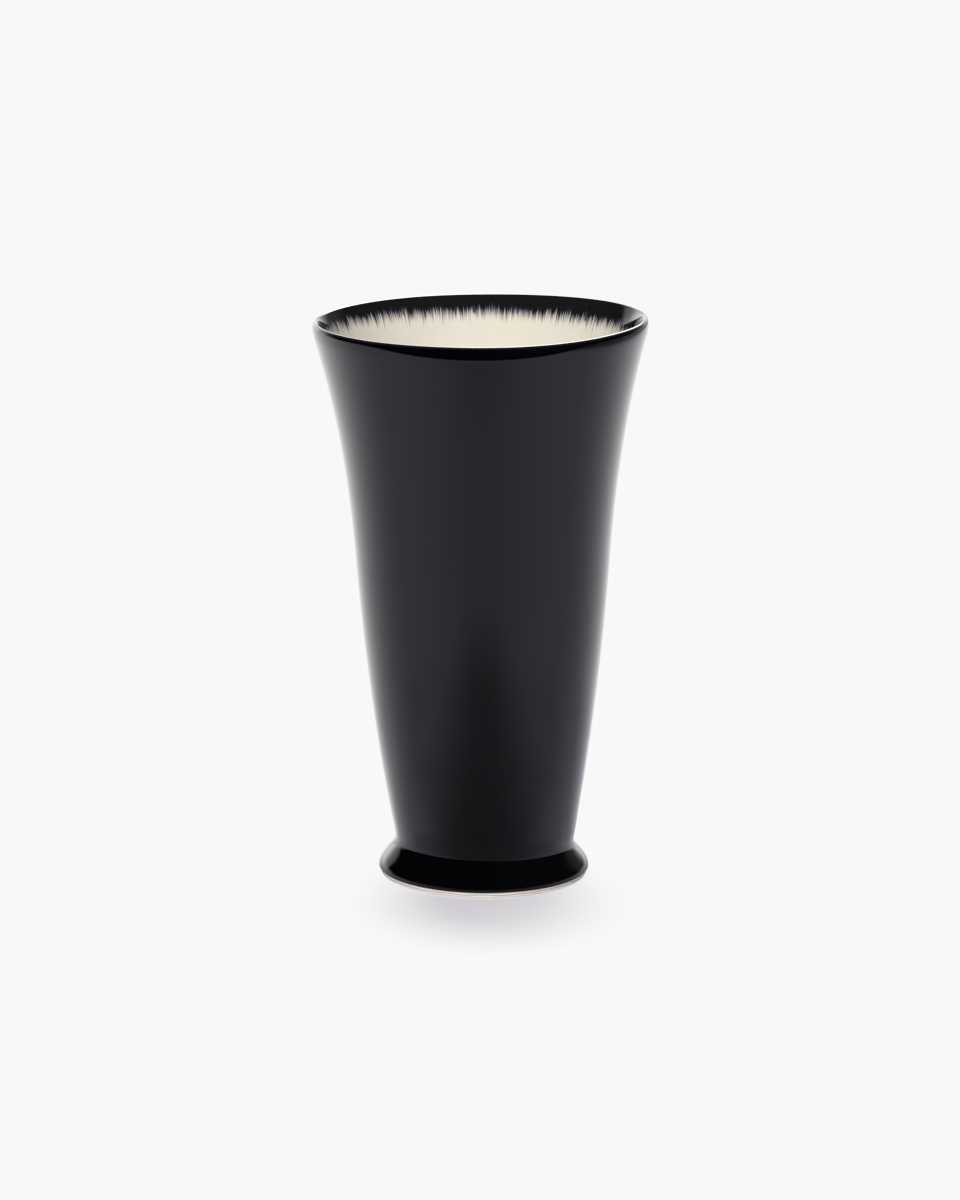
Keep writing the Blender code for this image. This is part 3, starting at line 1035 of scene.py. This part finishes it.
# %% [markdown]
# ## The table for the camera
#
# To the camera the table is one even white. Near the beaker that white has two parts, a
# glow and a lit part that add up to it. The lamps' shadow darkens only the lit part, so
# it stays soft and pale. All other rays meet plain white paint, and from below the
# table is clear, so that the foot can be looked at from underneath.


# %% Shaders that glow or choose
def shine(tree, kind, colour, strength=1.0):
    """A glowing shader: an emission on a surface, a background in the world."""
    return add(tree, kind, {"Color": opaque(colour), "Strength": strength})


def choose(tree, share, first, second):
    """The first shader where the share is 0, the second where it is 1."""
    return add(tree, "ShaderNodeMixShader", {0: share, 1: first.outputs[0], 2: second.outputs[0]})


# %% Where the shadow shows
SHADOW_CENTRE = (0.002, -0.030)
SHADOW_SIZE = (0.040, 0.056)
WINDOW_FADE = (0.25, 1.0, 1.0, 0.0)


def shadow_window(tree):
    """1 where the table shows the beaker's shadow, fading to 0 a little way off."""
    _, x, y, _ = here(tree)
    across = calc(tree, "DIVIDE", calc(tree, "SUBTRACT", x, SHADOW_CENTRE[0]), SHADOW_SIZE[0])
    along = calc(tree, "DIVIDE", calc(tree, "SUBTRACT", y, SHADOW_CENTRE[1]), SHADOW_SIZE[1])
    both = add(tree, "ShaderNodeCombineXYZ", {0: across, 1: along, 2: 0.0}).outputs[0]
    return remap(tree, distance(tree, both), *WINDOW_FADE)


# %% Table material
WHITE = 0.939
EVEN_WHITE = (WHITE, WHITE, WHITE)
FULL_WHITE = (1.0, 1.0, 1.0)
PLAIN_WHITE = (0.8, 0.8, 0.8)
COOL = (1.01, 0.985, 1.12)
COOL_RANGE = (0.35, 0.8)
SHADE = (0.255, 0.225, 0.285)

floor_material = bpy.data.materials.new("table_white")
floor_material.use_nodes = True
floor_material.cycles.emission_sampling = "NONE"
floor_tree = floor_material.node_tree
floor_tree.nodes.clear()

even = shine(floor_tree, "ShaderNodeEmission", EVEN_WHITE)
glow = shine(floor_tree, "ShaderNodeEmission", SHADE)
lit_paint = [(WHITE - value) / table_light for value in SHADE]
lit = add(floor_tree, "ShaderNodeBsdfDiffuse", {"Color": opaque(lit_paint)})
shadowed = add(floor_tree, "ShaderNodeAddShader", {0: glow.outputs[0], 1: lit.outputs[0]})
to_camera = choose(floor_tree, shadow_window(floor_tree), even, shadowed)

table_value = mirrored_table(floor_tree)
table_tint = mix(floor_tree, remap(floor_tree, table_value, *COOL_RANGE), COOL, FULL_WHITE)
mirrored = shine(floor_tree, "ShaderNodeEmission", table_tint, table_value)
plain = add(floor_tree, "ShaderNodeBsdfDiffuse", {"Color": opaque(PLAIN_WHITE)})

seen = add(floor_tree, "ShaderNodeLightPath").outputs
others = choose(floor_tree, seen["Is Glossy Ray"], plain, mirrored)
top = choose(floor_tree, seen["Is Camera Ray"], others, to_camera)
clear = add(floor_tree, "ShaderNodeBsdfTransparent")
from_below = add(floor_tree, "ShaderNodeNewGeometry").outputs["Backfacing"]
table_surface = choose(floor_tree, from_below, top, clear)
add(floor_tree, "ShaderNodeOutputMaterial", {"Surface": table_surface.outputs[0]})
dress(floor, floor_material)
print("table material:", len(floor_tree.nodes), "nodes")

# %% [markdown]
# ## The room
#
# The camera sees the world as the table's white, so the two run into each other, and
# diffuse rays get an even fill. Glossy rays see a room: pale walls low round the back,
# a glow along the horizon, a strong light overhead towards the back, and near darkness
# in front. Its parts start at a bearing of their own on the left and on the right.

# %% Directions in the room
ROOM_LEFT = (-0.10, 0.10, 1.0, 0.0)

world = bpy.data.worlds.new("white_room")
bpy.context.scene.world = world
world.use_nodes = True
world.cycles.sampling_method = "NONE"
room = world.node_tree
room.nodes.clear()
direction = add(room, "ShaderNodeTexCoord").outputs["Generated"]
room_x, room_y, room_z = add(room, "ShaderNodeSeparateXYZ", {0: direction}).outputs
room_bearing = bearing(room, room_x, room_y)
room_left = remap(room, room_x, *ROOM_LEFT)


def behind(left_start, right_start, span):
    """0 to 1 round the room towards the back, from a bearing of its own on each side."""
    start = by_side(room, room_left, left_start, right_start)
    return remap(room, room_bearing, start, calc(room, "ADD", start, span))


print("room directions:", len(room.nodes), "nodes")

# %% Walls and horizon
# An arc is where it starts on the left and on the right, and over how many degrees
LEFT_WALL, LEFT_WALL_ARC = 0.40, (128.0, 180.0, 8.0)
RIGHT_WALL, RIGHT_WALL_ARC = 0.07, (180.0, 118.0, 18.0)
BACK_WALL = (0.52, 0.85)
BACK_WALL_START = (138.0, 142.0)
BACK_WALL_SPAN = (14.0, 26.0)
WALL_HEIGHT = (0.22, 0.62, 1.0, 0.0)
HORIZON, HORIZON_ARC = 0.28, (114.0, 126.0, 12.0)
HORIZON_START = (0.08, 0.0)
HORIZON_FADE = 0.12

wall = times(room, behind(*LEFT_WALL_ARC), LEFT_WALL)
wall = calc(room, "MULTIPLY_ADD", behind(*RIGHT_WALL_ARC), RIGHT_WALL, wall)
back_span = by_side(room, room_left, *BACK_WALL_SPAN)
back_wall = by_side(room, room_left, *BACK_WALL)
wall = calc(room, "MULTIPLY_ADD", behind(*BACK_WALL_START, back_span), back_wall, wall)
wall = times(room, wall, remap(room, room_z, *WALL_HEIGHT))
low = by_side(room, room_left, *HORIZON_START)
low_glow = remap(room, room_z, low, calc(room, "ADD", low, HORIZON_FADE), HORIZON, 0.0)
wall = calc(room, "MULTIPLY_ADD", behind(*HORIZON_ARC), low_glow, wall)
print("walls and horizon:", len(room.nodes), "nodes so far")

# %% Overhead light, darkness and the world
OVERHEAD, OVERHEAD_ARC = 8.0, (158.0, 145.0, 18.0)
OVERHEAD_RISE = (0.20, 0.60)
OVERHEAD_END = (0.935, 0.970, 1.0, 0.0)
DARK = (0.0, 0.6, 0.0015, 0.0090)

overhead = times(room, remap(room, room_z, *OVERHEAD_RISE), remap(room, room_z, *OVERHEAD_END))
overhead = times(room, overhead, behind(*OVERHEAD_ARC), OVERHEAD)
dark = remap(room, room_x, *DARK)
mirrored_room = calc(room, "ADD", calc(room, "ADD", wall, overhead), dark)

fill = shine(room, "ShaderNodeBackground", FULL_WHITE, AMBIENT)
backdrop = shine(room, "ShaderNodeBackground", EVEN_WHITE)
gloss_room = shine(room, "ShaderNodeBackground", FULL_WHITE, mirrored_room)
room_seen = add(room, "ShaderNodeLightPath").outputs
with_gloss = choose(room, room_seen["Is Glossy Ray"], fill, gloss_room)
with_camera = choose(room, room_seen["Is Camera Ray"], with_gloss, backdrop)
add(room, "ShaderNodeOutputWorld", {"Surface": with_camera.outputs[0]})
print("room:", len(room.nodes), "nodes")

# %% [markdown]
# ## The camera
#
# The camera was found by fitting the rim, the outline and the foot of the beaker to the
# picture. It stands a little under 1.4 metres away and looks down at twelve and a half
# degrees through a long lens, so the beaker shows hardly any perspective.

# %% Camera
CAMERA_PLACE = Vector((0.0, -1.32063, 0.36779))
PITCH = 0.218833
YAW = -0.001089
ROLL = 0.006395
FOCAL_PIXELS = 5111.54
PICTURE_HEIGHT = 1200
SENSOR = 36.0
FARTHEST = 50.0

forward = Vector((
    math.sin(YAW) * math.cos(PITCH),
    math.cos(YAW) * math.cos(PITCH),
    -math.sin(PITCH),
))
level = forward.cross(Vector((0.0, 0.0, 1.0))).normalized()
upright = level.cross(forward)
right = math.cos(ROLL) * level + math.sin(ROLL) * upright
above = math.cos(ROLL) * upright - math.sin(ROLL) * level

camera_data = bpy.data.cameras.new("camera")
camera_data.sensor_fit = "AUTO"
camera_data.sensor_width = SENSOR
camera_data.lens = FOCAL_PIXELS / PICTURE_HEIGHT * SENSOR
camera_data.clip_end = FARTHEST
camera = bpy.data.objects.new("camera", camera_data)
camera.matrix_world = Matrix((right, above, -forward)).transposed().to_4x4()
camera.location = CAMERA_PLACE
bpy.context.scene.collection.objects.link(camera)
bpy.context.scene.camera = camera
print("lens:", round(camera_data.lens, 1), "mm")

# %% [markdown]
# ## Plain colours
#
# The Standard view shows a colour about as it is written, so the glazes look as they
# were mixed.

# %% Plain colours
scene = bpy.context.scene
scene.view_settings.view_transform = "Standard"
print("view:", scene.view_settings.view_transform)
